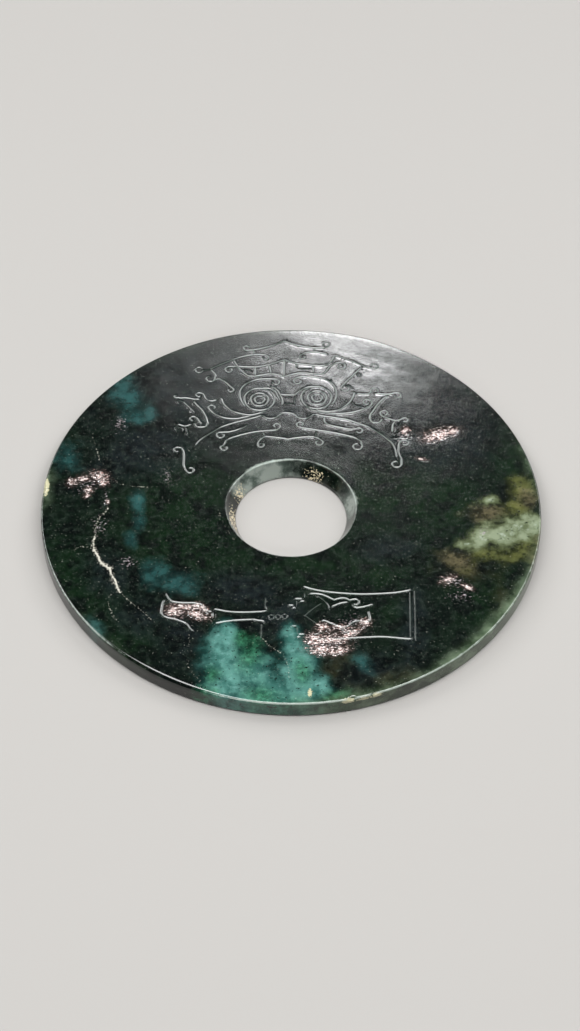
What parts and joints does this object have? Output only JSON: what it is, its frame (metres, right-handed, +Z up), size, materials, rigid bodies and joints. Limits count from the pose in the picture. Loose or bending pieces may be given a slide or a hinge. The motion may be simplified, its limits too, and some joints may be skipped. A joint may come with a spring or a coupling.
{
  "type": "jade bi disc",
  "caption": "Flat carved jade disc with a round central bore, an animal mask and a blade figure engraved on its upper face.",
  "frame": {"origin": "centre of the disc on its underside", "axes": "+Z up through the bore, out of the engraved face; +Y from the blade figure to the mask; +X to the mask's right as seen"},
  "size_m": [0.2, 0.2, 0.0074],
  "materials": {
    "nephrite": "polished"
  },
  "bodies": {
    "root": {"jade_disc": "nephrite"}
  },
  "joints": []
}
